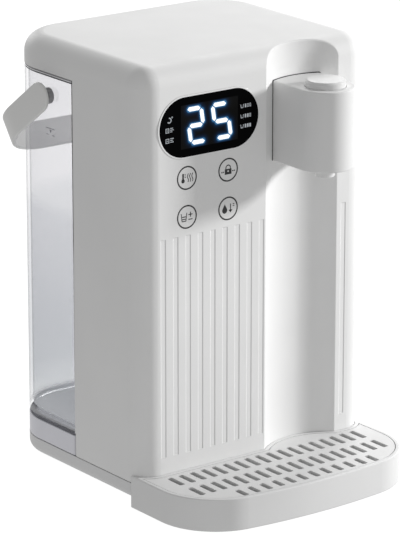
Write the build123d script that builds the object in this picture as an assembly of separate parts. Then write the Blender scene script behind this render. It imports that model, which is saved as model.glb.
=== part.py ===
from build123d import *
import math
import os

os.makedirs("parts", exist_ok=True)

# ---------------------------------------------------------------- driving dimensions (mm)
# working frame: X right, Y to the rear with the front face at Y = 0, Z up from the table
W2 = 93.5            # half width of the body
DEPTH = 156.5        # front face to rear face
HEIGHT = 297.0       # top of the shell
R_FRONT = 15.5       # plan radius of the two front corners
R_REAR = 37.0        # plan radius of the two rear corners
R_TOP = 13.0         # rounding of the top edge
WALL = 2.6           # moulded wall
Z_SHELL = 17.6       # lower edge of the shell
Z_BASE0 = 5.9        # lower edge of the base
Z_BASE1 = 17.0       # upper edge of the base
Y_SEAM = 75.5        # shell sides end here, tank begins
Z_ROOF = 276.5       # lower edge of the roof over the tank
Y_ORIGIN = 50.3074   # working Y of the part's origin

ALC_X, ALC_R, ALC_SAG = 37.7, 46.0, 11.0     # concave alcove
ALC_Y = ALC_SAG - ALC_R
GROOVE_X0, GROOVE_PITCH, GROOVE_N = -75.6, 10.0, 9      # shallow flat channels in the front panel
GROOVE_W, GROOVE_D, GROOVE_S = 3.2, 0.3, 0.5            # floor, depth, width of each sloping side
GROOVE_XR = 73.25                             # one more in the strip right of the alcove
GROOVE_Z0, GROOVE_Z1 = 34.3, 183.2
DISP_X, DISP_Z, DISP_W, DISP_H = -38.7, 255.7, 80.0, 40.0
KEYS_X, KEYS_Z = (-56.6, -23.3), (221.8, 195.7)

SP_X, SP_HW, SP_YC = 37.7, 19.5, -24.2       # spout head
SP_Z0, SP_Z1, SP_WALL = 219.8, 273.7, 2.4
BTN_R, BTN_TOP = 13.4, 278.2
BTN_TRAVEL = 2.0

TRAY_W2, TRAY_RC, TRAY_RF = 94.0, 44.0, 420.0
TRAY_CY = -22.0863                            # centre of the corner arcs
TRAY_Z0, TRAY_Z1 = 0.2, 22.6
TRAY_BACK = 11.5                              # rear end of the side wings
TRAY_GAP = 0.35
RIM = 2.6                                     # rim round the grille
SLOT_W, SLOT_R = 4.3, 1.3
ROW12_PITCH, ROW12_N, ROW12_LEN = 9.0, 18, 15.8
ROW1_Y, ROW2_Y = -14.4, -37.0
ROW3_PITCH, ROW3_N, ROW3_LEN, ROW3_Y = 9.9, 12, 11.6, -56.4

TANK_W2, TANK_Y0, TANK_Y1 = 93.4, 76.0, 156.4
TANK_Z0, TANK_Z1, TANK_T = 33.2, 274.0, 2.6
PIV_Y, PIV_Z, PIV_R = 101.9, 261.5, 3.5       # handle pivot
ARM_X1, ARM_T = 102.7, 2.5                    # outer face of the handle arm, strap thickness
STRAP_W, BAIL_L, BAIL_R = 20.0, 77.5, 43.0    # the crossbar leans on the tank's rear wall
BAIL_TILT = 36.0                              # hanging angle below the horizontal
VALVE_X, VALVE_Z = 0.0, 56.0

nodes = {}


# ---------------------------------------------------------------- helpers
def box(x0, x1, y0, y1, z0, z1):
    return Pos((x0 + x1) / 2, (y0 + y1) / 2, (z0 + z1) / 2) * Box(x1 - x0, y1 - y0, z1 - z0)


def cz(x, y, z0, z1, r):
    return Pos(x, y, (z0 + z1) / 2) * Cylinder(r, z1 - z0)


def cy(x, z, y0, y1, r):
    return Pos(x, (y0 + y1) / 2, z) * Rot(90, 0, 0) * Cylinder(r, y1 - y0)


def cx(y, z, x0, x1, r):
    return Pos((x0 + x1) / 2, y, z) * Rot(0, 90, 0) * Cylinder(r, x1 - x0)


def rounded(pts, rads):
    """Closed plan face through pts with a tangent arc of the given radius at each corner."""
    n = len(pts)
    ins, outs, mids = [], [], []
    for i in range(n):
        p, a, b = (Vector(*pts[i], 0), Vector(*pts[i - 1], 0), Vector(*pts[(i + 1) % n], 0))
        u, v = (a - p).normalized(), (b - p).normalized()
        r = rads[i]
        if r <= 0:
            ins.append(p), outs.append(p), mids.append(None)
            continue
        half = math.radians(u.get_angle(v)) / 2
        t = r / math.tan(half)
        c = p + (u + v).normalized() * (r / math.sin(half))
        ins.append(p + u * t), outs.append(p + v * t)
        mids.append(c + (p - c).normalized() * r)
    edges = []
    for i in range(n):
        if mids[i] is not None:
            edges.append(ThreePointArc(ins[i], mids[i], outs[i]))
        q = ins[(i + 1) % n]
        if (q - outs[i]).length > 1e-6:
            edges.append(Line(outs[i], q))
    return make_face(edges)


def body_plan(off):
    """Footprint of the body, inset by off (negative grows it)."""
    x, y0, y1 = W2 - off, off, DEPTH - off
    rf, rr = R_FRONT - off, R_REAR - off
    return rounded([(-x, y0), (x, y0), (x, y1), (-x, y1)], [rf, rf, rr, rr])


def prism(face, z0, z1):
    return Pos(0, 0, z0) * extrude(face, z1 - z0, dir=(0, 0, 1))


def one(shape):
    """The single solid of a result, or a group when there are several."""
    s = shape.solids()
    return s[0] if len(s) == 1 else Compound(children=list(s))


def group(*shapes):
    out = []
    for s in shapes:
        out.extend(s.solids())
    return Compound(children=out)


def soften(shape, edges, r):
    """Round edges, stepping the radius down where the corner is too tight."""
    for k in (1.0, 0.7, 0.45):
        try:
            res = fillet(edges, r * k)
            if res.is_valid and res.volume > 0:
                return res
        except Exception:
            pass
    print("edge left sharp", r)
    return shape


def alcove(grow, z0=-10.0, z1=400.0):
    return cz(ALC_X, ALC_Y, z0, z1, ALC_R + grow)


# ---------------------------------------------------------------- main shell
outer = prism(body_plan(0), Z_SHELL, HEIGHT)
outer = fillet(outer.edges().group_by(Axis.Z)[-1], R_TOP)
inner = prism(body_plan(WALL), Z_SHELL - 5, HEIGHT - WALL)
inner = fillet(inner.edges().group_by(Axis.Z)[-1], R_TOP - WALL)
inner = inner - alcove(WALL)
bay = box(-200, 200, Y_SEAM, 300, -10, Z_ROOF)
shell = outer - alcove(0)
arris = [e for e in shell.edges() if e.center().Y < 0.6 and abs(e.center().Z - 150) < 60
         and abs(abs(e.center().X - ALC_X) - math.sqrt(ALC_R ** 2 - ALC_Y ** 2)) < 0.2]
shell = soften(shell, arris, 1.2)
shell = shell - bay - inner
# window for the display, full-round ends
hw, hh = DISP_W / 2 + 1.0, DISP_H / 2 + 1.0


def pill(w2, h2, y0, y1, xc=DISP_X, zc=DISP_Z):
    a = w2 - h2
    return box(xc - a, xc + a, y0, y1, zc - h2, zc + h2) + cy(xc - a, zc, y0, y1, h2) + cy(xc + a, zc, y0, y1, h2)


shell = shell - pill(hw, hh, -5, 6)


def channel(x):
    """Cutter for one shallow channel: flat floor and sloping sides."""
    h, d, s = GROOVE_W / 2, GROOVE_D, GROOVE_S
    face = make_face([
        Line((x - h - s, -1), (x - h - s, 0)),
        Line((x - h - s, 0), (x - h, d)),
        Line((x - h, d), (x + h, d)),
        Line((x + h, d), (x + h + s, 0)),
        Line((x + h + s, 0), (x + h + s, -1)),
        Line((x + h + s, -1), (x - h - s, -1))])
    return prism(face, GROOVE_Z0, GROOVE_Z1)


for gx in [GROOVE_X0 + GROOVE_PITCH * i for i in range(GROOVE_N)] + [GROOVE_XR]:
    shell = shell - channel(gx)
# way through the alcove wall for the outlet hose and the spout's two screws
HOSE_Z = 240.0
shell = shell - cy(SP_X, HOSE_Z, 5, 20, 7.0)
SPOUT_SCREWS = ((SP_X, 228.0), (SP_X, 262.0))
for sx, sz in SPOUT_SCREWS:
    shell = shell - cy(sx, sz, 5, 20, 1.7)
# screw bosses for the base, tied to the side walls
BOSSES = ((-85.8, 22.0), (85.8, 22.0), (-85.8, 64.0), (85.8, 64.0))
for bx, by in BOSSES:
    s = math.copysign(1, bx)
    shell = shell + cz(bx, by, Z_BASE0 + 4.65, 46, 4.5)
    shell = shell + box(min(bx, s * 91.8), max(bx, s * 91.8), by - 1.2, by + 1.2, Z_SHELL + 0.6, 46)
    shell = shell - cz(bx, by, 0, 40, 1.25)
# ledges that the rear partition is screwed to
PART_SCREWS = ((-80.0, 120.0), (80.0, 120.0), (-80.0, 230.0), (80.0, 230.0))
for px, pz in PART_SCREWS:
    s = math.copysign(1, px)
    shell = shell + box(min(s * 75, s * 91.8), max(s * 75, s * 91.8), 62.2, 72.1, pz - 5, pz + 5)
    shell = shell - cy(px, pz, 60, 73, 1.25)
nodes["main_shell"] = one(shell)

# ---------------------------------------------------------------- rear partition: wall and ceiling of the tank bay
PART_Y0, PART_Y1 = 72.2, 74.8
px1 = W2 - WALL - 0.12
part = box(-px1, px1, PART_Y0, PART_Y1, Z_SHELL, 277.2)
ceil_plan = body_plan(WALL + 0.12) & Pos(0, 200, 0) * Rectangle(400, 2 * (200 - PART_Y0))
part = part + prism(ceil_plan, 277.2, 279.6)
part = part - cy(VALVE_X, VALVE_Z, 60, 80, 6.3)
for px, pz in PART_SCREWS:
    part = part - cy(px, pz, 60, 80, 1.7)
nodes["rear_partition"] = one(part)
nodes["partition_screws"] = group(*[
    cy(px, pz, 64.5, PART_Y1 + 0.05, 1.2) + cy(px, pz, PART_Y1 + 0.02, PART_Y1 + 0.55, 2.9) for px, pz in PART_SCREWS])

# ---------------------------------------------------------------- base
base = prism(body_plan(0), Z_BASE0, Z_BASE1)
base = soften(base, base.edges().group_by(Axis.Z)[0], 5.5)
base = base - alcove(0)
front_cav = prism(body_plan(WALL) & Pos(0, -125, 0) * Rectangle(400, 394), Z_BASE0 + 2.6, Z_BASE1 + 5) - alcove(WALL)
rear_cav = prism(body_plan(8.0) & Pos(0, 276, 0) * Rectangle(400, 394), 0, Z_BASE1 - 2.6)
base = base - front_cav - rear_cav
FEET = ((-64.0, 26.0), (64.0, 26.0), (-64.0, 128.0), (64.0, 128.0))
for fx, fy in FEET[2:]:
    base = base + cz(fx, fy, Z_BASE0, Z_BASE1 - 1, 11)
# screw pads with sunk heads
for bx, by in BOSSES:
    base = base + cz(bx, by, Z_BASE0 + 1.5, Z_BASE0 + 4.6, 5.0)
    base = base - cz(bx, by, 0, 30, 1.6) - cz(bx, by, 0, Z_BASE0 + 2.0, 3.3)
GLAND_X, GLAND_Z = -40.0, 13.0
base = base + box(GLAND_X - 8, GLAND_X + 8, DEPTH - 10.0, DEPTH - 5.0, Z_BASE0 + 0.4, Z_BASE1 - 1.0)
base = base - cy(GLAND_X, GLAND_Z, DEPTH - 30, DEPTH + 5, 3.0)
nodes["base_plate"] = one(base)
nodes["rubber_feet"] = group(*[
    chamfer(cz(fx, fy, 0, Z_BASE0, 9).edges().group_by(Axis.Z)[0], 1.0) for fx, fy in FEET])
nodes["base_screws"] = group(*[
    cz(bx, by, Z_BASE0 + 1.0, 30, 1.2) + cz(bx, by, Z_BASE0 + 0.15, Z_BASE0 + 1.95, 3.0) for bx, by in BOSSES])
gland = cy(GLAND_X, GLAND_Z, DEPTH - 12.0, DEPTH + 0.4, 2.98) - cy(GLAND_X, GLAND_Z, DEPTH - 20, DEPTH + 5, 2.1)
gland = gland + (cy(GLAND_X, GLAND_Z, DEPTH + 0.02, DEPTH + 1.2, 3.9) - cy(GLAND_X, GLAND_Z, DEPTH - 20, DEPTH + 5, 2.1))
nodes["mains_gland"] = one(gland)

# ---------------------------------------------------------------- display and touch keys
lw, lh = DISP_W / 2, DISP_H / 2
nodes["display_bezel"] = one(pill(lw + 0.95, lh + 0.95, -0.3, 2.6) - pill(lw - 0.1, lh - 0.1, -5, 6))
nodes["display_lens"] = one(pill(lw - 0.15, lh - 0.15, 0.0, 2.4))
board = box(-82, 2, 8.0, 9.6, 184, 284)
holes = [(-77.4, 187), (-1, 187), (-77.4, 281), (-1, 281)]
for hx, hz in holes:
    board = board - cy(hx, hz, 5, 12, 1.6)
nodes["display_board"] = one(board)
dm = box(-70, -8, 3.0, 8.0, 241, 270)
for cxx in (-60, -53, -25, -18):
    dm = dm - box(cxx - 1.2, cxx + 1.2, 2.5, 4.0, 247, 264)
nodes["digit_module"] = one(dm)
nodes["touch_springs"] = group(*[
    cy(kx, kz, 2.65, 8.0, 5.0) - cy(kx, kz, 0, 10, 4.0) for kx in KEYS_X for kz in KEYS_Z])
nodes["board_standoffs"] = group(*[
    (cy(hx, hz, 9.6, 14.0, 3.0) + cy(hx, hz, 2.65, 9.6, 1.55)) for hx, hz in holes])

# ---------------------------------------------------------------- spout head
def u_plan(off):
    r = SP_HW - off
    return make_face([
        Line((SP_X - r, 30), (SP_X - r, SP_YC)),
        ThreePointArc((SP_X - r, SP_YC), (SP_X, SP_YC - r), (SP_X + r, SP_YC)),
        Line((SP_X + r, SP_YC), (SP_X + r, 30)),
        Line((SP_X + r, 30), (SP_X - r, 30))])


wall_cut = alcove(-0.04)
sp = prism(u_plan(0), SP_Z0, SP_Z1) & wall_cut
rim_edges = [e for e in sp.edges().group_by(Axis.Z)[-1] if e.center().Y < 5]
sp = soften(sp, rim_edges, 1.1)
low_edges = [e for e in sp.edges().group_by(Axis.Z)[0] if e.center().Y < 5]
sp = soften(sp, low_edges, 0.8)
sp_in = prism(u_plan(SP_WALL), SP_Z0 - 5, SP_Z1 - SP_WALL) & alcove(-3.0)
sp = sp - sp_in
sp = sp - cz(SP_X, SP_YC, SP_Z1 - 6, SP_Z1 + 6, BTN_R + 0.35)
sp = sp - cy(SP_X, HOSE_Z, 0, 20, 6.0)
for sx, sz in SPOUT_SCREWS:
    sp = sp + (cy(sx, sz, 2.0, 9.0, 3.6) & alcove(-2.9))
    sp = sp - cy(sx, sz, 3.0, 20, 1.25)
nodes["spout_shell"] = one(sp)
nodes["spout_screws"] = group(*[
    cy(sx, sz, 3.6, ALC_SAG + WALL + 1, 1.2) + cy(sx, sz, ALC_SAG + WALL + 0.02, ALC_SAG + WALL + 2, 3.0) for sx, sz in SPOUT_SCREWS])
spb = prism(u_plan(SP_WALL + 0.1), SP_Z0 + 0.6, SP_Z0 + 2.6) & alcove(-3.2)
spb = spb - cz(SP_X, SP_YC, 200, 240, 6.6)
nodes["spout_base"] = one(spb)
noz = cz(SP_X, SP_YC, SP_Z0 - 6.8, SP_Z0 + 9.0, 6.5) - cz(SP_X, SP_YC, SP_Z0 - 10, SP_Z0 + 4.0, 4.6) - cz(SP_X, SP_YC, 200, 260, 2.6)
noz = soften(noz, noz.edges().group_by(Axis.Z)[0], 0.6)
nodes["outlet_nozzle"] = one(noz)
# button: cap with a retaining flange under the roof of the spout head
FL_Z1 = SP_Z1 - SP_WALL - 0.3
btn = cz(SP_X, SP_YC, FL_Z1 - 1.8, BTN_TOP, BTN_R)
btn = chamfer(btn.edges().group_by(Axis.Z)[-1], 1.3)
btn = btn + cz(SP_X, SP_YC, FL_Z1 - 1.8, FL_Z1, BTN_R + 1.8)
btn = btn + cz(SP_X, SP_YC, 258.5, FL_Z1 - 1.8, 2.4)
nodes["spout_button"] = one(btn)
car = prism(u_plan(SP_WALL + 0.1), 249.0, 251.2) & alcove(-3.2)
nodes["button_carrier"] = one(car)
sw = box(SP_X - 3.2, SP_X + 3.2, SP_YC - 3.2, SP_YC + 3.2, 251.2, 255.2) + cz(SP_X, SP_YC, 255.2, 256.0, 1.6)
nodes["button_switch"] = one(sw)
nodes["button_spring"] = one(cz(SP_X, SP_YC, 251.2, FL_Z1 - 1.8, 7.0) - cz(SP_X, SP_YC, 240, 290, 6.0))

# ---------------------------------------------------------------- drip tray and grille
def tray_outline(d):
    """Outer outline of the tray inset by d, closed by a straight rear line."""
    x, rc, rf = TRAY_W2 - d, TRAY_RC - d, TRAY_RF - d
    cxn = TRAY_W2 - TRAY_RC
    yc = TRAY_CY + math.sqrt((TRAY_RF - TRAY_RC) ** 2 - cxn ** 2)
    k = rf / (TRAY_RF - TRAY_RC)
    tx, ty = -cxn * k, yc + (TRAY_CY - yc) * k
    a0 = math.radians(180)
    a1 = math.atan2(ty - TRAY_CY, tx + cxn)
    if a1 < 0:
        a1 += 2 * math.pi
    am = (a0 + a1) / 2
    ml = (-cxn + rc * math.cos(am), TRAY_CY + rc * math.sin(am))
    return make_face([
        Line((-x, TRAY_BACK), (-x, TRAY_CY)),
        ThreePointArc((-x, TRAY_CY), ml, (tx, ty)),
        ThreePointArc((tx, ty), (0, yc - rf), (-tx, ty)),
        ThreePointArc((-tx, ty), (-ml[0], ml[1]), (x, TRAY_CY)),
        Line((x, TRAY_CY), (x, TRAY_BACK)),
        Line((x, TRAY_BACK), (-x, TRAY_BACK))])


def tray_prism(d, z0, z1):
    """Tray plan inset by d: the outline less the body's footprint, with a tongue into the alcove."""
    body = prism(body_plan(-TRAY_GAP - d), z0 - 1, z1 + 1) - alcove(-TRAY_GAP - d)
    return prism(tray_outline(d), z0, z1) - body


tray = tray_prism(0, TRAY_Z0, TRAY_Z1)
front_low = [e for e in tray.edges().group_by(Axis.Z)[0] if e.center().Y < -20]
tray = soften(tray, front_low, 1.0)
front_top = [e for e in tray.edges().group_by(Axis.Z)[-1] if e.center().Y < -20]
tray = soften(tray, front_top, 0.9)
tray = tray - tray_prism(RIM, TRAY_Z1 - 3.2, TRAY_Z1 + 3)
tray = tray - tray_prism(RIM + 3.0, TRAY_Z0 + 2.4, TRAY_Z1 + 3)
for tx in (-32.0, 32.0):
    tray = tray + box(tx - 11, tx + 11, -3.0, 34.0, TRAY_Z0 + 0.6, TRAY_Z0 + 3.6)
nodes["drip_tray"] = one(tray)

gr = tray_prism(RIM + 0.55, TRAY_Z1 - 3.1, TRAY_Z1 - 0.1)


def slot(x, y, length):
    w, h = SLOT_W / 2, length / 2
    return prism(rounded([(x - w, y - h), (x + w, y - h), (x + w, y + h), (x - w, y + h)], [SLOT_R] * 4), TRAY_Z1 - 6, TRAY_Z1 + 2)


cutters = []
for i in range(ROW12_N):
    sx = (i - (ROW12_N - 1) / 2) * ROW12_PITCH
    cutters += [slot(sx, ROW1_Y, ROW12_LEN), slot(sx, ROW2_Y, ROW12_LEN)]
for i in range(ROW3_N):
    cutters.append(slot((i - (ROW3_N - 1) / 2) * ROW3_PITCH, ROW3_Y, ROW3_LEN))
gr = gr - cutters
nodes["drip_grille"] = one(gr)

# ---------------------------------------------------------------- water tank
def tank_plan(off):
    x, y0, y1 = TANK_W2 - off, TANK_Y0 + off, TANK_Y1 - off
    return rounded([(-x, y0), (x, y0), (x, y1), (-x, y1)], [3.2 - min(off, 2.6), 3.2 - min(off, 2.6), R_REAR - 0.1 - off, R_REAR - 0.1 - off])


def tank_block(off, z0, z1):
    return prism(tank_plan(off), z0, z1)


tk = tank_block(0, TANK_Z0, TANK_Z1)
cav =tank_block(TANK_T, TANK_Z0 + 2.8, TANK_Z1 + 10)
low = cav.edges().group_by(Axis.Z)[0]
cav = soften(cav, low, 4.0)
tk = tk - cav
tk = tk - cy(VALVE_X, VALVE_Z, 70, 85, 9.05)
for s in (-1, 1):
    tk = tk - cx(PIV_Y, PIV_Z, min(s * 80, s * 100), max(s * 80, s * 100), PIV_R + 0.1)
nodes["tank_body"] = one(tk)
ring_o = tank_block(0.5, TANK_Z1, TANK_Z1 + 0.7)
nodes["tank_lid_seal"] = one(ring_o - tank_block(2.4, TANK_Z1 - 1, TANK_Z1 + 2))
lid = tank_block(0.25, TANK_Z1 + 0.7, TANK_Z1 + 1.5) + tank_block(3.0, TANK_Z1 - 1.4, TANK_Z1 + 0.7)
nodes["tank_lid"] = one(lid)
nodes["tank_gasket"] = one(prism(tank_plan(0.9), 31.3, TANK_Z0) - prism(tank_plan(4.5), 30, 40))
cap = prism(tank_plan(0), Z_SHELL + 0.05, 31.3) - prism(tank_plan(2.6), 10, 28.7)
nodes["tank_base_cap"] = one(cap)
# side stubs: collar on the wall, pin into the handle eye, nut inside
stubs = []
for s in (-1, 1):
    a = lambda u, v, r: cx(PIV_Y, PIV_Z, min(s * u, s * v), max(s * u, s * v), r)
    stubs.append(a(TANK_W2, ARM_X1 - ARM_T - 0.35, 5.4) + a(89.2, ARM_X1 - 0.8, PIV_R) + a(89.2, TANK_W2 - TANK_T, 5.0))
nodes["handle_pivots"] = group(*stubs)
# outlet valve in the front wall of the tank
vs = cy(VALVE_X, VALVE_Z, 76.2, 114, 9.0) + cy(VALVE_X, VALVE_Z, TANK_Y0 + TANK_T, 81.2, 12.5)
vs = vs - cy(VALVE_X, VALVE_Z, 70, 92, 6.6) - cy(VALVE_X, VALVE_Z, 90, 96, 4.2) - cy(VALVE_X, VALVE_Z, 95, 111.6, 7.2)
for ang in (0, 90):
    w = box(-12, 12, 100, 109, -3, 3)
    vs = vs - Pos(VALVE_X, 0, VALVE_Z) * Rot(0, ang, 0) * w
nodes["valve_seat"] = one(vs)
vp = cy(VALVE_X, VALVE_Z, 84.7, 97.2, 1.9) + cy(VALVE_X, VALVE_Z, 97.0, 100.0, 5.8)
nodes["valve_plunger"] = one(vp)
nodes["valve_spring"] = one(cy(VALVE_X, VALVE_Z, 100.0, 111.6, 4.4) - cy(VALVE_X, VALVE_Z, 90, 120, 3.5))

# ---------------------------------------------------------------- bail handle, made flat and then tilted about its pivot
xo, xi = ARM_X1, ARM_X1 - ARM_T
def bail_face(x, top, r):
    return rounded([(-x, -20), (x, -20), (x, top), (-x, top)], [0, 0, r, r])


band = prism(bail_face(xo, BAIL_L, BAIL_R), -STRAP_W / 2, STRAP_W / 2) - prism(
    bail_face(xi, BAIL_L - ARM_T, BAIL_R - ARM_T), -STRAP_W, STRAP_W) - box(-xi, xi, -60, 0, -50, 50)
keep = box(-200, 200, 0, 200, -50, 50) + Rot(0, 90, 0) * Cylinder(STRAP_W / 2, 400)
band = band & keep
long_edges = [e for e in band.edges() if e.length > 20 or e.geom_type == GeomType.CIRCLE]
band = soften(band, long_edges, 1.1)
for s in (-1, 1):
    band = band - cx(0, 0, min(s * (xi - 1), s * (xo - 0.6)), max(s * (xi - 1), s * (xo - 0.6)), PIV_R + 0.06)
nodes["tank_handle"] = one(Pos(0, PIV_Y, PIV_Z) * Rot(-BAIL_TILT, 0, 0) * band)

# ---------------------------------------------------------------- water path inside the body
dock = cy(VALVE_X, VALVE_Z, 58, 84.4, 5.9) + cy(VALVE_X, VALVE_Z, 69.6, PART_Y0, 13)
dock = dock - (cy(VALVE_X, VALVE_Z, 79.15, 80.85, 8) - cy(VALVE_X, VALVE_Z, 79, 81, 4.8)) - cy(VALVE_X, VALVE_Z, 50, 84.0, 3.0)
dock = dock - cy(VALVE_X + 0.0, VALVE_Z + 2.4, 80, 90, 0.9) - cy(VALVE_X, VALVE_Z - 2.4, 80, 90, 0.9)
nodes["tank_dock"] = one(dock)
nodes["dock_seal"] = one(Pos(VALVE_X, 80, VALVE_Z) * Rot(90, 0, 0) * Torus(5.6, 0.75))

PUMP_X, PUMP_Y, PUMP_Z0 = -40.0, 38.0, 15.0
pb = cz(PUMP_X, PUMP_Y, Z_BASE0 + 2.65, 44, 21) - cz(PUMP_X, PUMP_Y, 30, 60, 18)
pb = pb - cz(PUMP_X, PUMP_Y, 26, 32, 2.03)
pb = pb + cx(PUMP_Y, 37, PUMP_X + 19.5, PUMP_X + 33, 4.5) - cx(PUMP_Y, 37, PUMP_X + 17, PUMP_X + 40, 2.8)
nodes["pump_body"] = one(pb)
pc = cz(PUMP_X, PUMP_Y, 44, 47, 21) + cz(PUMP_X, PUMP_Y, 47, 60, 4.5) - cz(PUMP_X, PUMP_Y, 40, 70, 2.8)
nodes["pump_cover"] = one(pc)
imp = cz(PUMP_X, PUMP_Y, 26.3, 31.0, 2.0) + cz(PUMP_X, PUMP_Y, 30.3, 33.0, 16)
for k in range(6):
    imp = imp + Pos(PUMP_X, PUMP_Y, 37) * Rot(0, 0, 60 * k) * Pos(9.5, 0, 0) * Box(12.5, 1.6, 8.2)
imp = imp + cz(PUMP_X, PUMP_Y, 30.3, 41.0, 4.0)
nodes["pump_impeller"] = one(imp)

HEAT_X, HEAT_Y = 30.0, 38.0
ht = cz(HEAT_X, HEAT_Y, 80, 200, 15) - cz(HEAT_X, HEAT_Y, 83, 197, 11)
ht = ht + cz(HEAT_X, HEAT_Y, 66, 81, 4.5) + cz(HEAT_X, HEAT_Y, 199, 214, 4.5)
ht = ht - cz(HEAT_X, HEAT_Y, 60, 90, 2.8) - cz(HEAT_X, HEAT_Y, 190, 220, 2.8)
nodes["heater_tube"] = one(ht)
clips = []
for z in (100, 176):
    c = cz(HEAT_X, HEAT_Y, z, z + 8, 17) - cz(HEAT_X, HEAT_Y, z - 1, z + 9, 15.05)
    c = c + box(HEAT_X - 6, HEAT_X + 6, HEAT_Y + 16.0, PART_Y0 - 0.05, z, z + 8)
    clips.append(c)
nodes["heater_clips"] = group(*clips)
nodes["thermal_cutout"] = one(box(HEAT_X - 22, HEAT_X - 15.0, HEAT_Y - 6, HEAT_Y + 6, 132, 152) - cz(HEAT_X, HEAT_Y, 100, 180, 15))


def hose(pts, rads, r=4.2, bore=2.8):
    path = FilletPolyline(*pts, radius=rads)
    a = path ^ 0
    o = sweep(Plane(origin=a.position, z_dir=path % 0) * Circle(r), path=path)
    i = sweep(Plane(origin=a.position, z_dir=path % 0) * Circle(bore), path=path)
    return o - i


nodes["inlet_hose"] = one(hose([(VALVE_X, 57.98, VALVE_Z), (VALVE_X, 38, VALVE_Z), (VALVE_X, 38, 78), (PUMP_X, 38, 78), (PUMP_X, 38, 60.02)], [9, 9, 9]))
nodes["pump_hose"] = one(hose([(PUMP_X + 33.02, PUMP_Y, 37), (HEAT_X, HEAT_Y, 37), (HEAT_X, HEAT_Y, 65.98)], [14]))
nodes["outlet_hose"] = one(hose([(HEAT_X, HEAT_Y, 214.02), (HEAT_X, HEAT_Y, HOSE_Z), (SP_X, 26, HOSE_Z), (SP_X, SP_YC, HOSE_Z), (SP_X, SP_YC, SP_Z0 + 9.02)], [7, 8, 9]))
nodes["hose_clips"] = group(*[
    cz(x, y, z, z + 3, 5.6) - cz(x, y, z - 1, z + 4, 4.25) for x, y, z in ((PUMP_X, 38, 63), (HEAT_X, HEAT_Y, 216), (HEAT_X, HEAT_Y, 60))])

pw = box(-82, -14, 60.0, 61.6, 96, 206)
pw = pw + box(-78, -54, 44, 60, 150, 176) + box(-46, -26, 48, 60, 156, 172) + box(-74, -60, 40, 60, 108, 130)
pw = pw + cy(-40, 120, 42, 60, 9) + box(-30, -18, 50, 60, 104, 140)
nodes["power_board"] = one(pw)
nodes["board_pillars"] = group(*[cy(x, z, 61.65, PART_Y0 - 0.05, 3.5) for x in (-78, -18) for z in (100, 202)])

# ---------------------------------------------------------------- write every node
for name, shape in nodes.items():
    export_step(Pos(0, -Y_ORIGIN, 0) * shape, "parts/" + name + ".step")
allb = Compound(children=[Pos(0, -Y_ORIGIN, 0) * s for s in nodes.values()]).bounding_box()
print(len(nodes), "nodes", allb.min, allb.max, "Y centre", (allb.min.Y + allb.max.Y) / 2)
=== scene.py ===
import math

import bmesh
import bpy
import numpy as np
from mathutils import Matrix, Vector


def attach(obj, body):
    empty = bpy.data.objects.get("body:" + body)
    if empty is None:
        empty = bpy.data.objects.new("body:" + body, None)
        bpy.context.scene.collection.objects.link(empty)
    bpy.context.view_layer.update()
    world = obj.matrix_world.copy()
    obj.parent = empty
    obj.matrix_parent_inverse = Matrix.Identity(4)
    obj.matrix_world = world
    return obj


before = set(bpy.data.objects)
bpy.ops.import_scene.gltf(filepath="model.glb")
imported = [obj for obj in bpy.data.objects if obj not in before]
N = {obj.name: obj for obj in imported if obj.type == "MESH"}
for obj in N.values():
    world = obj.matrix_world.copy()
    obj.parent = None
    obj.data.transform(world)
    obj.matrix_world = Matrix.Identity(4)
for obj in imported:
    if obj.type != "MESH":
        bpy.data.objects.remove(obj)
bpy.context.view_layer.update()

# ------------------------------------------------------------------ places
# Millimetres, with Y measured back from the flat front panel, are turned into
# the row frame's metres.
Y0 = 50.3074


def P(x, y, z):
    return Vector((x / 1000.0, (y - Y0) / 1000.0, z / 1000.0))


# ------------------------------------------------------------------ materials
def new_mat(name):
    m = bpy.data.materials.new(name)
    m.use_nodes = True
    nt = m.node_tree
    nt.nodes.clear()
    out = nt.nodes.new("ShaderNodeOutputMaterial")
    out.location = (600, 0)
    b = nt.nodes.new("ShaderNodeBsdfPrincipled")
    b.location = (300, 0)
    nt.links.new(b.outputs[0], out.inputs[0])
    return m, nt, b


def coords(nt):
    tc = nt.nodes.new("ShaderNodeTexCoord")
    tc.location = (-1100, 0)
    return tc.outputs["Object"]


def noise(nt, vec, scale, detail=3.0, rough=0.55, distort=0.0):
    n = nt.nodes.new("ShaderNodeTexNoise")
    n.inputs["Scale"].default_value = scale
    n.inputs["Detail"].default_value = detail
    n.inputs["Roughness"].default_value = rough
    n.inputs["Distortion"].default_value = distort
    nt.links.new(vec, n.inputs["Vector"])
    return n.outputs["Fac"]


def spread(nt, val, lo, hi, a=0.3, b=0.7):
    r = nt.nodes.new("ShaderNodeMapRange")
    r.inputs["From Min"].default_value = a
    r.inputs["From Max"].default_value = b
    r.inputs["To Min"].default_value = lo
    r.inputs["To Max"].default_value = hi
    nt.links.new(val, r.inputs["Value"])
    return r.outputs["Result"]


def two_tone(nt, val, c0, c1, a=0.3, b=0.7):
    r = nt.nodes.new("ShaderNodeValToRGB")
    r.color_ramp.elements[0].position = a
    r.color_ramp.elements[0].color = (*c0, 1)
    r.color_ramp.elements[1].position = b
    r.color_ramp.elements[1].color = (*c1, 1)
    nt.links.new(val, r.inputs["Fac"])
    return r.outputs["Color"]


def bump(nt, val, strength, dist, normal=None):
    b = nt.nodes.new("ShaderNodeBump")
    b.inputs["Strength"].default_value = strength
    b.inputs["Distance"].default_value = dist
    nt.links.new(val, b.inputs["Height"])
    if normal is not None:
        nt.links.new(normal, b.inputs["Normal"])
    return b.outputs["Normal"]


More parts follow.
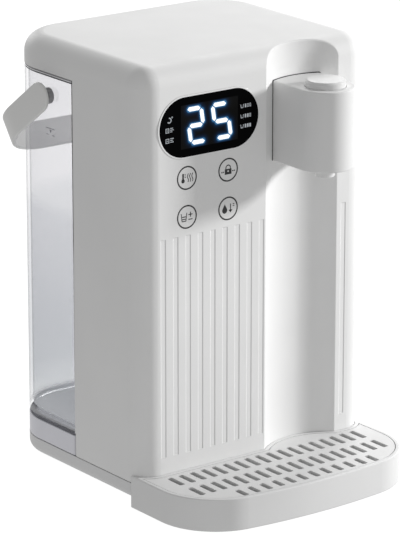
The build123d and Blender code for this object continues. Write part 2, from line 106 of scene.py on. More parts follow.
def plastic(name, col, var=0.02, rough=(0.32, 0.42), grain=2600.0, grain_amount=0.06, spec=0.5, coat=0.0, tint=None, edge=0.0004):
    """Moulded plastic: faint tone drift, uneven gloss, a fine spark-eroded grain and softened arrises."""
    m, nt, b = new_mat(name)
    v = coords(nt)
    big = noise(nt, v, 14.0, 3.0, 0.5)
    c0 = tuple(max(0.0, x * (1 - var)) for x in col)
    c1 = tuple(min(1.0, x * (1 + var)) for x in (tint or col))
    nt.links.new(two_tone(nt, big, c0, c1), b.inputs["Base Color"])
    mid = noise(nt, v, 60.0, 4.0, 0.6)
    nt.links.new(spread(nt, mid, rough[0], rough[1]), b.inputs["Roughness"])
    fine = noise(nt, v, grain, 2.0, 0.6)
    bev = None
    if edge:
        be = nt.nodes.new("ShaderNodeBevel")
        be.samples = 4
        be.inputs["Radius"].default_value = edge
        bev = be.outputs["Normal"]
    nt.links.new(bump(nt, fine, grain_amount, 0.00006, bev), b.inputs["Normal"])
    b.inputs["Specular IOR Level"].default_value = spec
    if coat:
        b.inputs["Coat Weight"].default_value = coat
        b.inputs["Coat Roughness"].default_value = 0.08
    return m


def rubber(name, col):
    m, nt, b = new_mat(name)
    v = coords(nt)
    n = noise(nt, v, 90.0, 5.0, 0.65)
    nt.links.new(two_tone(nt, n, tuple(x * 0.8 for x in col), tuple(x * 1.25 for x in col)), b.inputs["Base Color"])
    nt.links.new(spread(nt, n, 0.62, 0.82), b.inputs["Roughness"])
    fine = noise(nt, v, 1800.0, 3.0, 0.7)
    nt.links.new(bump(nt, fine, 0.18, 0.0001), b.inputs["Normal"])
    b.inputs["Specular IOR Level"].default_value = 0.3
    return m


def metal(name, col, rough=(0.22, 0.38), brushed=(1.0, 1.0, 14.0)):
    m, nt, b = new_mat(name)
    v = coords(nt)
    mp = nt.nodes.new("ShaderNodeMapping")
    mp.inputs["Scale"].default_value = brushed
    nt.links.new(v, mp.inputs["Vector"])
    n = noise(nt, mp.outputs["Vector"], 300.0, 4.0, 0.6)
    nt.links.new(two_tone(nt, n, tuple(x * 0.86 for x in col), col), b.inputs["Base Color"])
    nt.links.new(spread(nt, n, rough[0], rough[1]), b.inputs["Roughness"])
    nt.links.new(bump(nt, n, 0.08, 0.00005), b.inputs["Normal"])
    b.inputs["Metallic"].default_value = 1.0
    return m


def z_ramp(nt, v, z_lo, z_hi, stops):
    """Colours along the height, between z_lo and z_hi in metres."""
    sep = nt.nodes.new("ShaderNodeSeparateXYZ")
    nt.links.new(v, sep.inputs[0])
    ramp = nt.nodes.new("ShaderNodeValToRGB")
    e = ramp.color_ramp.elements
    for i, (z, c) in enumerate(stops):
        p = (z - z_lo) / (z_hi - z_lo)
        if i < 2:
            e[i].position = p
            e[i].color = (*c, 1)
        else:
            e.new(p).color = (*c, 1)
    nt.links.new(spread(nt, sep.outputs["Z"], 0.0, 1.0, z_lo, z_hi), ramp.inputs["Fac"])
    return ramp.outputs["Color"]


def clear_wall(name, tints, z_floor=0.0400, veil=(0.075, 0.125, 0.60), col=(0.93, 0.935, 0.955)):
    """Thin clear copolymer: see-through, darker in its lower half, milky and glossy where it is seen edge on, with a
    frosted floor.
    """
    m, nt, b = new_mat(name)
    v = coords(nt)
    n = noise(nt, v, 18.0, 3.0, 0.5)
    nt.links.new(two_tone(nt, n, tuple(x * 0.96 for x in col), col), b.inputs["Base Color"])
    nt.links.new(spread(nt, n, 0.05, 0.11), b.inputs["Roughness"])
    w = noise(nt, v, 9.0, 2.0, 0.4)
    nt.links.new(bump(nt, w, 0.05, 0.0006), b.inputs["Normal"])
    b.inputs["Specular IOR Level"].default_value = 0.8
    thin = nt.nodes.new("ShaderNodeBsdfTransparent")
    nt.links.new(z_ramp(nt, v, 0.0, 0.3, tints), thin.inputs["Color"])
    lw = nt.nodes.new("ShaderNodeLayerWeight")
    lw.inputs["Blend"].default_value = 0.5
    ramp = nt.nodes.new("ShaderNodeValToRGB")
    e = ramp.color_ramp.elements
    e[0].position, e[0].color = 0.0, (veil[0],) * 3 + (1,)
    e[1].position, e[1].color = 1.0, (veil[2],) * 3 + (1,)
    k = e.new(0.72)
    k.color = (veil[1],) * 3 + (1,)
    nt.links.new(lw.outputs["Facing"], ramp.inputs["Fac"])
    sep = nt.nodes.new("ShaderNodeSeparateXYZ")
    nt.links.new(v, sep.inputs[0])
    facing = nt.nodes.new("ShaderNodeSeparateXYZ")
    nt.links.new(next(x for x in nt.nodes if x.type == "TEX_COORD").outputs["Normal"], facing.inputs[0])

    def times(a, b2):
        k2 = nt.nodes.new("ShaderNodeMath")
        k2.operation = "MULTIPLY"
        nt.links.new(a, k2.inputs[0])
        nt.links.new(b2, k2.inputs[1])
        return k2.outputs[0]

    above = spread(nt, sep.outputs["Z"], 0.0, 1.0, 0.0344, 0.0348)
    frost = times(times(above, spread(nt, sep.outputs["Z"], 1.0, 0.0, z_floor - 0.002, z_floor)), spread(nt, facing.outputs["Z"], 0.0, 1.0, 0.05, 0.6))
    slab = times(spread(nt, sep.outputs["Z"], 0.0, 0.36, 0.0336, 0.0352), spread(nt, sep.outputs["Z"], 1.0, 0.0, 0.0370, 0.0420))

    def larger(a, b2):
        k2 = nt.nodes.new("ShaderNodeMath")
        k2.operation = "MAXIMUM"
        nt.links.new(a, k2.inputs[0])
        nt.links.new(b2, k2.inputs[1])
        return k2

    most = larger(larger(times(ramp.outputs["Color"], above), frost).outputs[0], slab)
    mix = nt.nodes.new("ShaderNodeMixShader")
    nt.links.new(most.outputs[0], mix.inputs[0])
    nt.links.new(thin.outputs[0], mix.inputs[1])
    nt.links.new(b.outputs[0], mix.inputs[2])
    out = next(x for x in nt.nodes if x.type == "OUTPUT_MATERIAL")
    nt.links.new(mix.outputs[0], out.inputs[0])
    return m


def stub_plastic(name, dark, grey, x_wall, x_collar):
    """Pivot stubs: grey collar on the wall, the neck beside the arm painted near black as painted shade for the slit
    between arm and wall, clear nut inside the wall.
    """
    m = plastic(name, dark, rough=(0.36, 0.46))
    nt = m.node_tree
    b = next(x for x in nt.nodes if x.type == "BSDF_PRINCIPLED")
    out = next(x for x in nt.nodes if x.type == "OUTPUT_MATERIAL")
    sep = nt.nodes.new("ShaderNodeSeparateXYZ")
    nt.links.new(coords(nt), sep.inputs[0])
    ab = nt.nodes.new("ShaderNodeMath")
    ab.operation = "ABSOLUTE"
    nt.links.new(sep.outputs["X"], ab.inputs[0])
    f = spread(nt, ab.outputs[0], 0.0, 1.0, x_collar - 0.0003, x_collar + 0.0003)
    # beyond the collar the stub is painted near black: painted shade for the slit beside the arm
    nt.links.new(two_tone(nt, f, grey, dark, 0.0, 1.0), b.inputs["Base Color"])
    solid = spread(nt, ab.outputs[0], 0.06, 1.0, x_wall - 0.0003, x_wall)
    thin = nt.nodes.new("ShaderNodeBsdfTransparent")
    mix = nt.nodes.new("ShaderNodeMixShader")
    nt.links.new(solid, mix.inputs[0])
    nt.links.new(thin.outputs[0], mix.inputs[1])
    nt.links.new(b.outputs[0], mix.inputs[2])
    nt.links.new(mix.outputs[0], out.inputs[0])
    return m


def shaded_below(m, col, z_top, z_low, keep=1.0):
    """Darkens a finish below its top face: the walls of its slots and its inside stay out of the light."""
    nt = m.node_tree
    b = next(x for x in nt.nodes if x.type == "BSDF_PRINCIPLED")
    low = tuple(x * keep for x in col)
    nt.links.new(z_ramp(nt, coords(nt), z_low - 0.01, z_top + 0.01, ((z_low, low), (z_top, col))), b.inputs["Base Color"])
    return m


def black_glass(name):
    m, nt, b = new_mat(name)
    v = coords(nt)
    n = noise(nt, v, 40.0, 3.0, 0.5)
    nt.links.new(two_tone(nt, n, (0.0008, 0.0008, 0.0010), (0.0014, 0.0014, 0.0017)), b.inputs["Base Color"])
    nt.links.new(spread(nt, n, 0.05, 0.11), b.inputs["Roughness"])
    fine = noise(nt, v, 900.0, 2.0, 0.5)
    nt.links.new(bump(nt, fine, 0.01, 0.00003), b.inputs["Normal"])
    b.inputs["Specular IOR Level"].default_value = 0.025
    return m


def ink(name, col, rough=0.5):
    """Screen print: slightly uneven cover."""
    m, nt, b = new_mat(name)
    v = coords(nt)
    n = noise(nt, v, 700.0, 3.0, 0.6)
    nt.links.new(two_tone(nt, n, tuple(x * 0.8 for x in col), tuple(x * 1.2 for x in col)), b.inputs["Base Color"])
    nt.links.new(spread(nt, n, rough - 0.08, rough + 0.08), b.inputs["Roughness"])
    return m


def lamp(name, col, strength, low=0.9):
    """Lit segment: a diffuser that is a touch brighter in the middle of its noise."""
    m, nt, b = new_mat(name)
    v = coords(nt)
    n = noise(nt, v, 420.0, 2.0, 0.5)
    b.inputs["Base Color"].default_value = (0.02, 0.02, 0.022, 1)
    b.inputs["Roughness"].default_value = 0.3
    nt.links.new(two_tone(nt, n, tuple(x * low for x in col), col), b.inputs["Emission Color"])
    b.inputs["Emission Strength"].default_value = strength
    return m


def glow_film(name):
    """Smoked window over the figures: dark grey, with a blue bloom held in a point attribute."""
    m, nt, b = new_mat(name)
    v = coords(nt)
    at = nt.nodes.new("ShaderNodeAttribute")
    at.attribute_name = "glow"
    n = noise(nt, v, 60.0, 2.0, 0.5)
    nt.links.new(two_tone(nt, n, (0.0040, 0.0040, 0.0042), (0.0068, 0.0067, 0.0066)), b.inputs["Base Color"])
    b.inputs["Roughness"].default_value = 0.12
    b.inputs["Specular IOR Level"].default_value = 0.05
    ramp = nt.nodes.new("ShaderNodeValToRGB")
    e = ramp.color_ramp.elements
    e[0].position, e[0].color = 0.0, (0, 0, 0, 1)
    e[1].position, e[1].color = 1.0, (0.045, 0.19, 0.40, 1)
    mid = ramp.color_ramp.elements.new(0.45)
    mid.color = (0.002, 0.017, 0.052, 1)
    nt.links.new(at.outputs["Fac"], ramp.inputs["Fac"])
    nt.links.new(ramp.outputs["Color"], b.inputs["Emission Color"])
    b.inputs["Emission Strength"].default_value = 1.0
    return m


def board(name, col):
    m, nt, b = new_mat(name)
    v = coords(nt)
    br = nt.nodes.new("ShaderNodeTexBrick")
    br.inputs["Scale"].default_value = 260.0
    br.inputs["Color1"].default_value = (*col, 1)
    br.inputs["Color2"].default_value = (*[x * 0.8 for x in col], 1)
    br.inputs["Mortar"].default_value = (*[min(1, x * 2.2) for x in col], 1)
    br.inputs["Mortar Size"].default_value = 0.012
    nt.links.new(v, br.inputs["Vector"])
    nt.links.new(br.outputs["Color"], b.inputs["Base Color"])
    nt.links.new(spread(nt, br.outputs["Fac"], 0.32, 0.5, 0, 1), b.inputs["Roughness"])
    nt.links.new(bump(nt, br.outputs["Fac"], 0.2, 0.00004), b.inputs["Normal"])
    return m


WHITE = (0.81, 0.81, 0.807)
M = {
    "shell": plastic("shell_white", WHITE, rough=(0.56, 0.66), spec=0.28),
    "base": plastic("base_grey", (0.72, 0.72, 0.722), rough=(0.52, 0.62), spec=0.3),
    "bezel": plastic("bezel_white", (0.86, 0.86, 0.86), rough=(0.22, 0.3), grain_amount=0.02),
    "lens": black_glass("lens_black"),
    "tank": clear_wall("tank_clear", ((0.040, (0.930, 0.935, 0.940)), (0.062, (0.862, 0.870, 0.880)), (0.095, (0.862, 0.868, 0.880)), (0.150, (0.890, 0.893, 0.904)), (0.178, (0.905, 0.908, 0.918)), (0.190, (0.966, 0.965, 0.971)))),
    "cap": plastic("tank_cap_grey", (0.76, 0.76, 0.81), rough=(0.3, 0.4)),
    "lid": plastic("tank_lid_pale", (0.80, 0.80, 0.82), rough=(0.3, 0.4)),
    "seal": rubber("seal_dark", (0.06, 0.06, 0.065)),
    "gasket": rubber("gasket_grey", (0.20, 0.20, 0.22)),
    "handle": plastic("handle_grey", (0.79, 0.79, 0.78), rough=(0.36, 0.46)),
    # pivot stubs: the near-black neck is painted shade in the slit beside the arm
    "pivot": stub_plastic("pivot_dark", (0.035, 0.035, 0.037), (0.36, 0.36, 0.365), 0.0932, 0.0972),
    # tray and grille whites are darker than the shell's: painted shade for the weaker light that falls on the tray's
    # top
    "tray": plastic("tray_white", (0.745, 0.745, 0.743), rough=(0.5, 0.6), spec=0.32),
    "grille": shaded_below(plastic("grille_white", (0.745, 0.745, 0.743), rough=(0.5, 0.6), spec=0.32), (0.745, 0.745, 0.743), 0.0222, 0.0212, 0.74),
    # spout and button whites are darker than the shell's: painted shade toning down the strong light on their
    # right-facing sides
    "spout": plastic("spout_white", (0.775, 0.775, 0.772), rough=(0.5, 0.6), spec=0.3),
    "button": plastic("button_white", (0.76, 0.76, 0.757), rough=(0.26, 0.34)),
    "nozzle": plastic("nozzle_white", (0.76, 0.76, 0.757)),
    "foot": rubber("foot_rubber", (0.05, 0.05, 0.052)),
    "steel": metal("steel", (0.62, 0.62, 0.63)),
    "board": board("board_green", (0.02, 0.09, 0.045)),
    "module": plastic("module_dark", (0.03, 0.03, 0.033), rough=(0.3, 0.4)),
    "hose": plastic("hose_silicone", (0.72, 0.73, 0.72), rough=(0.45, 0.6), spec=0.4),
    "heater": metal("heater_metal", (0.70, 0.68, 0.64), rough=(0.2, 0.32)),
    "pump": plastic("pump_black", (0.035, 0.035, 0.038), rough=(0.4, 0.52)),
    "inner": plastic("inner_white", (0.78, 0.78, 0.775), rough=(0.42, 0.52)),
}
# the strap between the handle's two arms is mixed part see-through so it reads lighter: painted light standing in for
# the light on its inner face; the arms stay opaque
hnt = M["handle"].node_tree
hb = next(x for x in hnt.nodes if x.type == "BSDF_PRINCIPLED")
hsep = hnt.nodes.new("ShaderNodeSeparateXYZ")
hnt.links.new(coords(hnt), hsep.inputs[0])
habs = hnt.nodes.new("ShaderNodeMath")
habs.operation = "ABSOLUTE"
hnt.links.new(hsep.outputs["X"], habs.inputs[0])
hthin = hnt.nodes.new("ShaderNodeBsdfTransparent")
hmix = hnt.nodes.new("ShaderNodeMixShader")
hnt.links.new(spread(hnt, habs.outputs[0], 0.58, 1.0, 0.086, 0.0990), hmix.inputs[0])
hnt.links.new(hthin.outputs[0], hmix.inputs[1])
hnt.links.new(hb.outputs[0], hmix.inputs[2])
hnt.links.new(hmix.outputs[0], next(x for x in hnt.nodes if x.type == "OUTPUT_MATERIAL").inputs[0])

USES = {
    "shell": ["main_shell"],
    "inner": ["rear_partition", "board_standoffs", "button_carrier", "board_pillars", "tank_dock", "spout_base"],
    "steel": ["partition_screws", "base_screws", "touch_springs", "spout_screws", "button_spring", "heater_clips", "hose_clips", "valve_spring"],
    "base": ["base_plate"],
    "foot": ["rubber_feet", "mains_gland"],
    "bezel": ["display_bezel"],
    "lens": ["display_lens"],
    "board": ["display_board", "power_board"],
    "module": ["digit_module", "button_switch", "thermal_cutout"],
    "spout": ["spout_shell"],
    "nozzle": ["outlet_nozzle"],
    "seal": ["dock_seal", "tank_lid_seal"],
    "gasket": ["tank_gasket"],
    "pump": ["pump_body", "pump_cover", "pump_impeller"],
    "heater": ["heater_tube"],
    "hose": ["inlet_hose", "pump_hose", "outlet_hose"],
    "tank": ["tank_body"],
    "cap": ["tank_base_cap", "valve_seat", "valve_plunger"],
    "lid": ["tank_lid"],
    "handle": ["tank_handle"],
    "pivot": ["handle_pivots"],
    "tray": ["drip_tray"],
    "grille": ["drip_grille"],
    "button": ["spout_button"],
}
for key, names in USES.items():
    for n in names:
        o = N[n]
        o.data.materials.clear()
        o.data.materials.append(M[key])
left = sorted(set(N) - {n for ns in USES.values() for n in ns})
if left:
    raise RuntimeError("no finish for " + ", ".join(left))


# ------------------------------------------------------------------ helpers for printed and lit shapes
def mesh_piece(name, verts, faces, mat, body, smooth=False):
    me = bpy.data.meshes.new(name)
    me.from_pydata([tuple(v) for v in verts], [], faces)
    me.update()
    o = bpy.data.objects.new(name, me)
    bpy.context.scene.collection.objects.link(o)
    me.materials.append(mat)
    if smooth:
        for p in me.polygons:
            p.use_smooth = True
    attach(o, body)
    return o


def stroke(points, width, closed=False):
    """Quads along a line of (x, z) points."""
    pts = [np.array(p, float) for p in points]
    n = len(pts)
    left_side, right_side = [], []
    for i, p in enumerate(pts):
        if closed:
            a, b = pts[i - 1], pts[(i + 1) % n]
        else:
            a, b = pts[max(i - 1, 0)], pts[min(i + 1, n - 1)]
        d0 = p - a if np.linalg.norm(p - a) > 1e-9 else b - p
        d1 = b - p if np.linalg.norm(b - p) > 1e-9 else p - a
        d0, d1 = d0 / np.linalg.norm(d0), d1 / np.linalg.norm(d1)
        t = d0 + d1
        t = t / np.linalg.norm(t) if np.linalg.norm(t) > 1e-6 else d0
        nrm = np.array([-t[1], t[0]])
        k = 1.0 / max(0.5, abs(nrm @ np.array([-d0[1], d0[0]])))
        left_side.append(p + nrm * width / 2 * k)
        right_side.append(p - nrm * width / 2 * k)
    polys = []
    for i in range(n if closed else n - 1):
        j = (i + 1) % n
        polys.append([right_side[i], right_side[j], left_side[j], left_side[i]])
    return polys


def arc(cx, cz, r, a0, a1, n=24):
    return [(cx + r * math.cos(math.radians(a0 + (a1 - a0) * i / n)), cz + r * math.sin(math.radians(a0 + (a1 - a0) * i / n))) for i in range(n + 1)]


def disc(cx, cz, r, n=24):
    return [(cx + r * math.cos(2 * math.pi * i / n), cz + r * math.sin(2 * math.pi * i / n)) for i in range(n)]


def rect(x0, z0, x1, z1):
    return [(x0, z0), (x1, z0), (x1, z1), (x0, z1)]


def area2(poly):
    return sum(poly[i - 1][0] * poly[i][1] - poly[i][0] * poly[i - 1][1] for i in range(len(poly)))


def on_front(y_face):
    return lambda x, z, out: P(x, y_face - out, z)


def plate(name, polys, place, thick, mat, body, turn=1):
    """Flat printed shapes: each polygon becomes a thin closed slab that stands thick out of its face. turn is -1 on a face seen from its back."""
    verts, faces = [], []
    for poly in polys:
        poly = [tuple(map(float, p)) for p in poly]
        if area2(poly) * turn < 0:
            poly = poly[::-1]
        k, n = len(verts), len(poly)
        verts += [place(x, z, thick) for x, z in poly]
        verts += [place(x, z, -0.004) for x, z in poly]
        faces.append(tuple(range(k, k + n)))
        faces.append(tuple(range(k + 2 * n - 1, k + n - 1, -1)))
        for i in range(n):
            j = (i + 1) % n
            faces.append((k + i, k + n + i, k + n + j, k + j))
    return mesh_piece(name, verts, faces, mat, body)


def tube(name, pts, r, mat, body, n=10):
    """Round bead along a line of points, closed at both ends."""
    pts = [Vector(p) for p in pts]
    verts, faces = [], []
    side = None
    for i, p in enumerate(pts):
        t = (pts[min(i + 1, len(pts) - 1)] - pts[max(i - 1, 0)]).normalized()
        if side is None:
            side = t.orthogonal().normalized()
        side = (side - t * side.dot(t)).normalized()
        other = t.cross(side)
        verts += [p + (side * math.cos(2 * math.pi * k / n) + other * math.sin(2 * math.pi * k / n)) * r for k in range(n)]
    for i in range(len(pts) - 1):
        for k in range(n):
            a, b = i * n + k, i * n + (k + 1) % n
            faces.append((a, b, b + n, a + n))
    faces.append(tuple(range(n - 1, -1, -1)))
    faces.append(tuple(range((len(pts) - 1) * n, len(pts) * n)))
    return mesh_piece(name, verts, faces, mat, body, smooth=True)


# ------------------------------------------------------------------ display
FACE = 0.0            # the flat front panel and the outer face of the lens
SLANT = -0.155        # the figures lean back to the left


def lean(poly, zc):
    return [(x + SLANT * (z - zc), z) for x, z in poly]


def figure(which, cx, cz, w=11.5, h=22.4, t=2.9, gap=1.15):
    """Lit bars of a seven-bar figure: a b c d e f g, with pointed ends."""
    def across(z):
        q = w / 2 - gap / 2
        return [(cx - q, z), (cx - q + t / 2, z + t / 2), (cx + q - t / 2, z + t / 2), (cx + q, z), (cx + q - t / 2, z - t / 2), (cx - q + t / 2, z - t / 2)]

    def upright(x, z0, z1):
        a, b = z0 + gap / 2, z1 - gap / 2
        return [(x, a), (x + t / 2, a + t / 2), (x + t / 2, b - t / 2), (x, b), (x - t / 2, b - t / 2), (x - t / 2, a + t / 2)]

    bars = {
        "a": across(cz + h / 2), "g": across(cz), "d": across(cz - h / 2),
        "b": upright(cx + w / 2, cz, cz + h / 2), "c": upright(cx + w / 2, cz - h / 2, cz),
        "f": upright(cx - w / 2, cz, cz + h / 2), "e": upright(cx - w / 2, cz - h / 2, cz),
    }
    return [lean(bars[k], cz) for k in which]


two = figure("abged", -49.2, 255.7)
five = figure("afgcd", -28.6, 255.6)
lit = two + five
M["digit"] = lamp("digit_white", (0.95, 0.98, 1.0), 1.25)
M["mark"] = lamp("mark_white", (0.86, 0.92, 0.98), 0.42, 0.7)
M["window"] = glow_film("window_smoke")


def to_bar(px, pz, poly):
    """Distance from points to a bar's long middle line, less half its width."""
    a, b = np.array(poly[0]), np.array(poly[3])
    d = b - a
    inset = 1.5 / np.linalg.norm(d)
    a, b = a + d * inset, b - d * inset
    d = b - a
    t = np.clip(((px - a[0]) * d[0] + (pz - a[1]) * d[1]) / (d @ d), 0, 1)
    return np.hypot(px - a[0] - t * d[0], pz - a[1] - t * d[1]) - 1.45


gx = np.linspace(-61.3, -15.5, 116)
gz = np.linspace(241.2, 270.2, 74)
GX, GZ = np.meshgrid(gx, gz)
dist = np.min([to_bar(GX, GZ, b) for b in lit], axis=0)
glow = np.where(dist < 0, 1.0, np.exp(-(np.maximum(dist, 0) / 1.35) ** 1.25))
nx, nz = len(gx), len(gz)
verts = [P(GX[j, i], FACE - 0.02, GZ[j, i]) for j in range(nz) for i in range(nx)]
faces = [(j * nx + i, j * nx + i + 1, (j + 1) * nx + i + 1, (j + 1) * nx + i) for j in range(nz - 1) for i in range(nx - 1)]
ring = [i for i in range(nx)] + [j * nx + nx - 1 for j in range(1, nz)] + [(nz - 1) * nx + i for i in range(nx - 2, -1, -1)] + [j * nx for j in range(nz - 2, 0, -1)]
k = len(verts)
for r in ring:
    v = verts[r].copy()
    v.y = P(0, FACE + 0.004, 0).y
    verts.append(v)
m = len(ring)
for i in range(m):
    faces.append((ring[i], k + i, k + (i + 1) % m, ring[(i + 1) % m]))
faces.append(tuple(range(k + m - 1, k - 1, -1)))
window = mesh_piece("digit_window", verts, faces, M["window"], "housing")
at = window.data.attributes.new("glow", "FLOAT", "POINT")
at.data.foreach_set("value", np.concatenate([glow.ravel(), np.zeros(m)]).astype(np.float32))
plate("digits", lit, on_front(FACE), 0.05, M["digit"], "housing")

# small lit marks beside the figures: a degree sign and hook, level blocks, cups with one to three bars
marks = stroke(arc(-70.6, 262.0, 1.55, -140, 95, 18), 0.75) + [disc(-68.3, 263.8, 0.55, 16)]
for zc, n in ((255.4, 0), (248.6, 1)):
    marks += stroke([(-73.2, zc - 1.3), (-70.9, zc - 1.3), (-70.9, zc + 1.3), (-73.2, zc + 1.3)], 0.55, True)
    marks.append(rect(-72.5, zc - 0.3, -71.6, zc + 0.3))
    for q, ln in enumerate((2.7, 2.0, 2.7) if n else (2.2, 2.7, 1.6)):
        marks.append(rect(-69.8, zc + 1.0 - q * 1.15, -69.8 + ln, zc + 1.55 - q * 1.15))
for row, zc in enumerate((262.7, 255.9, 249.2)):
    marks += stroke([(-13.2, zc + 1.15), (-12.8, zc - 1.1), (-11.3, zc - 1.1), (-10.9, zc + 1.15)], 0.42)
    for q in range(3):
        x0 = -9.9 + q * 1.9
        if q <= row:
            marks.append(rect(x0, zc - 1.2, x0 + 1.25, zc + 1.2))
        else:
            marks += stroke([(x0 + 0.2, zc - 1.0), (x0 + 1.05, zc - 1.0), (x0 + 1.05, zc + 1.0), (x0 + 0.2, zc + 1.0)], 0.34, True)
plate("display_marks", marks, on_front(FACE), 0.04, M["mark"], "housing")

# ------------------------------------------------------------------ touch keys: printed rings and pictograms
M["ink"] = ink("key_ink", (0.022, 0.022, 0.023))
KX, KZ = (-56.6, -23.3), (221.8, 195.7)


def at_key(polys, cx, cz, s=1.0):
    return [[(cx + x * s, cz + z * s) for x, z in p] for p in polys]


def heat():
    g = [[(-3.15, -0.9), (-2.05, -0.9), (-2.05, 2.2)] + arc(-2.6, 2.2, 0.55, 0, 180, 8) + [(-3.15, 2.2)], disc(-2.6, -1.55, 1.15, 20)]
    g += [rect(-1.6, z, -0.7, z + 0.4) for z in (0.2, 1.1, 2.0)]
    for x in (0.7, 2.2, 3.7):
        g += stroke([(x + 0.38 * math.sin(t * 1.9), -2.4 + t * 1.25) for t in [i * 0.2 for i in range(20)]], 0.5)
    return g


def padlock():
    g = [rect(-2.3, -2.6, 2.3, -1.2), rect(-2.3, -1.2, -0.5, -0.4), rect(0.5, -1.2, 2.3, -0.4), rect(-2.3, -0.4, 2.3, 0.5)]
    g += stroke([(-1.55, 0.45)] + arc(0, 1.1, 1.55, 180, 0, 16) + [(1.55, 0.45)], 0.62)
    g += [disc(x, -1.0, 0.42, 12) for x in (-4.3, -3.2, 3.2, 4.3)]
    return g


def cup():
    g = stroke([(-3.9, 2.3), (-3.3, -2.3), (-0.7, -2.3), (-0.1, 2.3)], 0.5)
    g += [rect(-3.3, -0.1, -0.7, 0.45), rect(-3.1, -1.4, -0.9, -0.85)]
    g += [rect(1.0, 0.85, 3.8, 1.4), rect(2.12, -0.3, 2.68, 2.5), rect(1.0, -1.9, 3.8, -1.35)]
    return g


def drop():
    belly = [(-2.3 + 1.75 * math.sin(math.radians(a)), -0.9 - 1.75 * math.cos(math.radians(a))) for a in range(-115, 116, 10)]
    g = [belly + [(-2.3, 2.7)]]
    g += stroke([(1.7, 2.5), (1.7, -1.5)], 0.6) + [[(0.35, -0.9), (1.7, -2.6), (3.05, -0.9)]]
    g += [rect(3.3, 1.9, 4.3, 2.4), rect(3.3, 0.8, 4.3, 1.3)]
    return g


prints = []
for (kx, kz), glyph in zip([(KX[0], KZ[0]), (KX[1], KZ[0]), (KX[0], KZ[1]), (KX[1], KZ[1])], (heat, padlock, cup, drop)):
    prints += stroke(arc(kx, kz, 7.47, 0, 360 * 95 / 96, 95), 1.0, True)
    prints += at_key(glyph(), kx, kz, 1.18)
plate("key_prints", prints, on_front(FACE), 0.025, M["ink"], "housing")

# ------------------------------------------------------------------ sealing bead where the spout head meets the alcove wall
SPX, SPH, SPZ0, SPZ1 = 37.7, 19.5, 219.9, 273.7


def wall_y(dx):
    return -35.0 + math.sqrt(46.0 ** 2 - dx * dx)


bead = [P(SPX - SPH - 0.12, wall_y(SPH) - 0.1, SPZ0 + (SPZ1 - SPZ0) * i / 6) for i in range(7)]
bead += [P(SPX + SPH * a / 20, wall_y(SPH * a / 20) - 0.1, SPZ1 + 0.12) for a in range(-20, 21)]
bead += [P(SPX + SPH + 0.12, wall_y(SPH) - 0.1, SPZ1 - (SPZ1 - SPZ0) * i / 6) for i in range(7)]
tube("spout_bead", bead, 0.00042, M["seal"], "housing")

# ------------------------------------------------------------------ fill mark on both sides of the tank
M["tick"] = ink("tick_grey", (0.30, 0.30, 0.33))
for s, side_name in ((-1, "left"), (1, "right")):
    mark = [rect(96.0, 238.9, 106.0, 239.4), [(99.6, 238.2), (102.4, 238.2), (101.0, 236.0)], rect(96.0, 234.6, 99.0, 235.1), rect(103.0, 234.6, 106.0, 235.1)]
    plate("fill_mark_" + side_name, mark, lambda a, b, out, s=s: P(s * (93.4 + out), a, b), 0.06, M["tick"], "tank", turn=s)

# ------------------------------------------------------------------ edge strips on the shell, where the tank's front corners meet it
# the strips are dark higher up, for the seam, and painted pale lower down: a painted highlight standing for the bright
# glint along the tank's front edge
M["edge"] = rubber("edge_strip", (0.05, 0.05, 0.052))
edge_nt = M["edge"].node_tree
edge_nt.links.new(
    z_ramp(edge_nt, coords(edge_nt), 0.0, 0.3, ((0.060, (0.80, 0.80, 0.81)), (0.150, (0.52, 0.52, 0.53)), (0.172, (0.10, 0.10, 0.105)), (0.2, (0.03, 0.03, 0.032)))),
    next(x for x in edge_nt.nodes if x.type == "BSDF_PRINCIPLED").inputs["Base Color"])


def bar(name, x0, x1, y0, y1, z0, z1, mat, body):
    c = [P(x, y, z) for z in (z0, z1) for x, y in ((x0, y0), (x1, y0), (x1, y1), (x0, y1))]
    f = [(3, 2, 1, 0), (4, 5, 6, 7)] + [(i, (i + 1) % 4, 4 + (i + 1) % 4, 4 + i) for i in range(4)]
    return mesh_piece(name, c, f, mat, body)


bar("edge_strip_left", -93.3, -92.5, 75.46, 76.6, 33.4, 276.2, M["edge"], "housing")
bar("edge_strip_right", 92.5, 93.3, 75.46, 76.6, 33.4, 276.2, M["edge"], "housing")
bar("foot_strip_left", -93.3, -92.7, 75.46, 75.98, 17.4, 33.1, M["seal"], "housing")
bar("foot_strip_right", 92.7, 93.3, 75.46, 75.98, 17.4, 33.1, M["seal"], "housing")

# ------------------------------------------------------------------ camera
psi, theta = math.radians(36.714), math.radians(16.919)
back = Vector((-math.sin(psi) * math.cos(theta), -math.cos(psi) * math.cos(theta), math.sin(theta)))
aim = P(-46.07, 0.0, 160.3)
cam_data = bpy.data.cameras.new("camera")
cam = bpy.data.objects.new("camera", cam_data)
bpy.context.scene.collection.objects.link(cam)
right = Vector((math.cos(psi), -math.sin(psi), 0.0))
up = back.cross(right)
rot = Matrix((right, up, back)).transposed().to_4x4()
cam.matrix_world = Matrix.Translation(aim + back * 2.3053) @ rot
cam_data.sensor_width = 36.0
cam_data.lens = 239.44
cam_data.clip_start = 0.05
cam_data.clip_end = 60.0
bpy.context.scene.camera = cam
bpy.context.scene.view_settings.view_transform = "Standard"

# ------------------------------------------------------------------ stage
world = bpy.data.worlds.new("studio")
bpy.context.scene.world = world
world.use_nodes = True
wb = world.node_tree.nodes["Background"]
wb.inputs["Color"].default_value = (1.0, 1.0, 1.0, 1)
wb.inputs["Strength"].default_value = 0.40


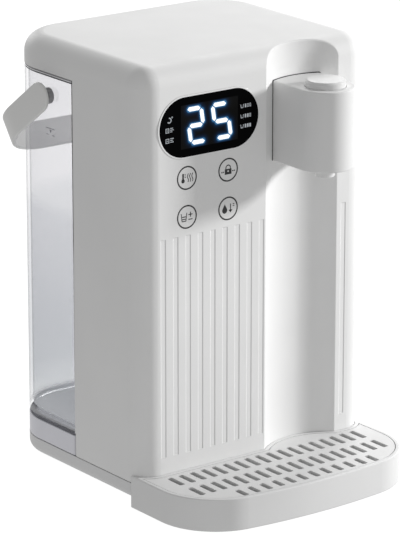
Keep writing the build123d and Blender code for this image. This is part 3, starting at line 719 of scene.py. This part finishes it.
def area_light(name, loc, target, size_x, size_y, power, col=(1, 1, 1)):
    d = bpy.data.lights.new(name, "AREA")
    d.shape = "RECTANGLE"
    d.size, d.size_y = size_x, size_y
    d.energy = power
    d.color = col
    o = bpy.data.objects.new(name, d)
    bpy.context.scene.collection.objects.link(o)
    o.location = loc
    o.rotation_mode = "QUATERNION"
    o.rotation_quaternion = (Vector(target) - Vector(loc)).to_track_quat("-Z", "Y")
    return o


key_dir = Vector((2.0, -1.0, 0.72)).normalized()
area_light("key", key_dir * 1.8 + Vector((0, 0, 0.16)), (0, 0, 0.16), 0.22, 0.22, 28.5)
area_light("top", (1.56, 1.43, 1.71), (0, 0, 0.2), 1.0, 1.0, 25.0)
area_light("rear", (0.1, 1.5, 0.62), (0, 0, 0.12), 0.7, 0.5, 6.0)
area_light("fill", (-0.6, -2.4, 0.9), (0, 0, 0.15), 1.4, 1.4, 2.2)

me = bpy.data.meshes.new("floor")
me.from_pydata([(-9, -9, -0.0004), (9, -9, -0.0004), (9, 9, -0.0004), (-9, 9, -0.0004)], [], [(0, 1, 2, 3)])
floor = bpy.data.objects.new("floor", me)
bpy.context.scene.collection.objects.link(floor)
# Pale light table: near white where it is looked at, and about half as bright for the light that it throws on the object.
fm, fnt, fb = new_mat("floor_pale")
fv = coords(fnt)
fn = noise(fnt, fv, 3.0, 3.0, 0.5)
lp = fnt.nodes.new("ShaderNodeLightPath")
fnt.links.new(two_tone(fnt, fn, (0.135, 0.135, 0.135), (0.145, 0.145, 0.145)), fb.inputs["Base Color"])
fb.inputs["Roughness"].default_value = 0.95
fb.inputs["Specular IOR Level"].default_value = 0.05
fb.inputs["Emission Color"].default_value = (1, 1, 1, 1)
far = fnt.nodes.new("ShaderNodeVectorMath")
far.operation = "LENGTH"
fnt.links.new(fv, far.inputs[0])
throw = spread(fnt, far.outputs["Value"], 0.54, 0.30, 0.12, 1.1)
seen = fnt.nodes.new("ShaderNodeMapRange")
seen.inputs["To Max"].default_value = 0.955
fnt.links.new(lp.outputs["Is Camera Ray"], seen.inputs["Value"])
fnt.links.new(throw, seen.inputs["To Min"])
fnt.links.new(seen.outputs["Result"], fb.inputs["Emission Strength"])
fm.cycles.emission_sampling = "NONE"
me.materials.append(fm)
